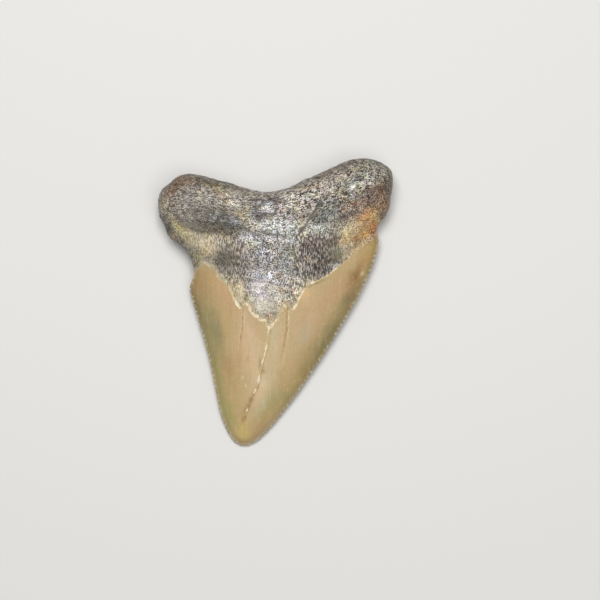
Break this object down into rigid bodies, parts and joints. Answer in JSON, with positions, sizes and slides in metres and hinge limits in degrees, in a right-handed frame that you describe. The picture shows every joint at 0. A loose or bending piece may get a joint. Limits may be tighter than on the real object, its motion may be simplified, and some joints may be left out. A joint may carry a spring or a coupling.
{
  "type": "fossil shark tooth",
  "caption": "Fossil megalodon tooth: speckled grey root with rounded lobes, smooth tan triangular crown, finely serrated edges, lying on its outer face.",
  "frame": {"origin": "on the surface the tooth lies on, under the middle of its outline", "axes": "+Z out of the inner (lingual) face, +Y from the crown's tip to the root, +X to the right when seen from above with the root at the top"},
  "size_m": [0.0374, 0.046, 0.0087],
  "materials": {
    "fossil_tooth": "tan enamel with a satin shine on the crown, rougher speckled grey-brown root"
  },
  "bodies": {
    "root": {"tooth": "fossil_tooth"}
  },
  "joints": []
}
